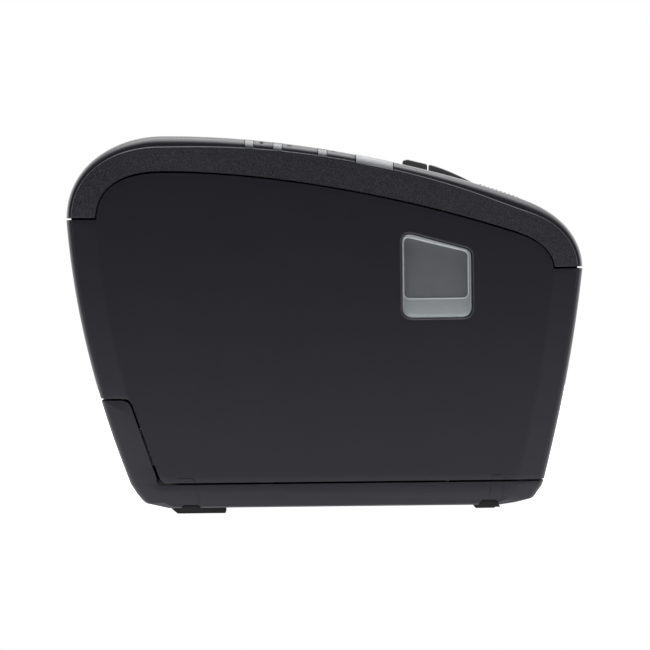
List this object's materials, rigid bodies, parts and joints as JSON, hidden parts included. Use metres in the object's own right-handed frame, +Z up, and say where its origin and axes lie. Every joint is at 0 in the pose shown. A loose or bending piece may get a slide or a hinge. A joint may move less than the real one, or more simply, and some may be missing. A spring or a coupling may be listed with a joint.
{
  "type": "label maker",
  "caption": "Desktop label maker with an arched top cover, a side-opening cassette cover with a window, top edge buttons and a front label exit.",
  "frame": {"origin": "centre of the bounding box at the plane the feet stand on", "axes": "+X towards the front with the label exit, +Z up, -Y the side with the cassette cover"},
  "size_m": [0.1919, 0.118, 0.1412],
  "materials": {
    "panel_plastic": "very fine matte moulded finish, near black",
    "grained_plastic": "coarse spark-eroded grain, charcoal",
    "base_plastic": "fine moulded grain, near black",
    "key_plastic": "satin, slightly glossier than the panels",
    "silver_plastic": "light silver grey, satin",
    "lamp_lens": "frosted light grey, semi-gloss",
    "smoke_window": "clear smoky grey, polished",
    "inner_plastic": "plain dark grey moulding",
    "cassette_plastic": "mid grey moulding",
    "gear_plastic": "natural white acetal",
    "label_tape": "wound white tape, fine turns",
    "ribbon_film": "wound black film, slight gloss",
    "steel": "brushed",
    "aluminium": "milled, satin",
    "brass": "turned",
    "rubber": "matte black",
    "circuit_board": "green solder mask, semi-gloss"
  },
  "bodies": {
    "casing": {"top_cover": "grained_plastic", "top_inlay": "panel_plastic", "top_grip_strip": "grained_plastic", "status_lamp_lens_1": "lamp_lens", "status_lamp_lens_2": "lamp_lens", "status_lamp_lens_3": "lamp_lens", "fixed_side_panel": "panel_plastic", "front_bezel": "panel_plastic", "rear_cover": "panel_plastic", "base": "base_plastic", "hinge_pin_rear": "steel", "hinge_pin_front": "steel", "base_screw_1": "steel", "base_screw_2": "steel", "base_screw_3": "steel", "base_screw_4": "steel", "foot_rear_left": "rubber", "foot_rear_right": "rubber", "foot_front_left": "rubber", "foot_front_right": "rubber", "network_socket": "steel", "usb_socket": "steel", "power_inlet": "rubber", "cassette_well": "inner_plastic", "cassette_case": "cassette_plastic", "gear_plate": "steel", "drive_motor": "steel", "motor_screw_1": "steel", "motor_screw_2": "steel", "head_pivot_pin": "steel", "fixed_blade": "steel", "cutter_motor": "steel", "main_board": "circuit_board", "main_capacitor": "rubber", "board_shield": "steel", "key_board": "circuit_board", "light_pipe_1": "lamp_lens", "light_pipe_2": "lamp_lens", "light_pipe_3": "lamp_lens"},
    "cover": {"cassette_cover": "panel_plastic", "cover_window": "smoke_window"},
    "release_button": {"cover_release_button": "silver_plastic"},
    "power_key": {"power_button": "key_plastic"},
    "feed_key": {"feed_cut_button": "key_plastic"},
    "motor_rotor": {"motor_pinion": "brass", "motor_shaft": "steel"},
    "idler": {"idler_gear": "gear_plastic"},
    "platen": {"platen_gear": "gear_plastic", "platen_shaft": "steel", "platen_roller": "rubber"},
    "ribbon_drive": {"ribbon_gear": "gear_plastic", "ribbon_spindle": "gear_plastic", "ribbon_takeup_spool": "ribbon_film"},
    "ribbon_supply": {"ribbon_supply_spool": "ribbon_film"},
    "tape_supply": {"label_tape_roll": "label_tape", "cassette_core": "gear_plastic"},
    "head_assembly": {"head_arm": "steel", "print_head": "aluminium", "head_heat_sink": "aluminium"},
    "cutter": {"cutter_blade": "steel"}
  },
  "joints": [
    {"name": "cover_hinge", "type": "hinge", "parent": "casing", "child": "cover", "pos_m": [0, -0.057, 0.0138], "axis": [1, 0, 0], "range_deg": [0, 90]},
    {"name": "head_lift", "type": "hinge", "parent": "casing", "child": "head_assembly", "pos_m": [0.0532, 0, 0.076], "axis": [0, -1, 0], "range_deg": [0, 8]},
    {"name": "release_press", "type": "slide", "parent": "casing", "child": "release_button", "axis": [0, 0.7071, -0.7071], "range_m": [0, 0.0015], "stiffness_N_per_m": 600},
    {"name": "power_press", "type": "slide", "parent": "casing", "child": "power_key", "axis": [0, 0, -1], "range_m": [0, 0.001], "stiffness_N_per_m": 400},
    {"name": "feed_press", "type": "slide", "parent": "casing", "child": "feed_key", "axis": [0, 0, -1], "range_m": [0, 0.001], "stiffness_N_per_m": 400},
    {"name": "tape_roll_spin", "type": "hinge", "parent": "casing", "child": "tape_supply", "pos_m": [-0.014, 0, 0.063], "axis": [0, 1, 0], "continuous": true},
    {"name": "platen_spin", "type": "hinge", "parent": "casing", "child": "platen", "pos_m": [0.06, 0, 0.0496], "axis": [0, 1, 0], "continuous": true},
    {"name": "idler_spin", "type": "hinge", "parent": "casing", "child": "idler", "pos_m": [0.04475, 0, 0.03068], "axis": [0, 1, 0], "continuous": true},
    {"name": "motor_spin", "type": "hinge", "parent": "casing", "child": "motor_rotor", "pos_m": [0.02536, 0, 0.02857], "axis": [0, 1, 0], "continuous": true},
    {"name": "ribbon_takeup_spin", "type": "hinge", "parent": "casing", "child": "ribbon_drive", "pos_m": [0.028, 0, 0.046], "axis": [0, 1, 0], "continuous": true},
    {"name": "ribbon_supply_spin", "type": "hinge", "parent": "casing", "child": "ribbon_supply", "pos_m": [0.031, 0, 0.073], "axis": [0, 1, 0], "continuous": true},
    {"name": "cutter_stroke", "type": "slide", "parent": "casing", "child": "cutter", "axis": [0, 0, -1], "range_m": [0, 0.008], "stiffness_N_per_m": 400}
  ],
  "couplings": [
    {"joint": "head_lift", "follows": "cover_hinge", "ratio": 0.088889},
    {"joint": "platen_spin", "follows": "tape_roll_spin", "ratio": 5.6},
    {"joint": "idler_spin", "follows": "tape_roll_spin", "ratio": -3.7333},
    {"joint": "motor_spin", "follows": "tape_roll_spin", "ratio": 11.2},
    {"joint": "ribbon_takeup_spin", "follows": "tape_roll_spin", "ratio": 6.72},
    {"joint": "ribbon_supply_spin", "follows": "tape_roll_spin", "ratio": 4.368}
  ]
}
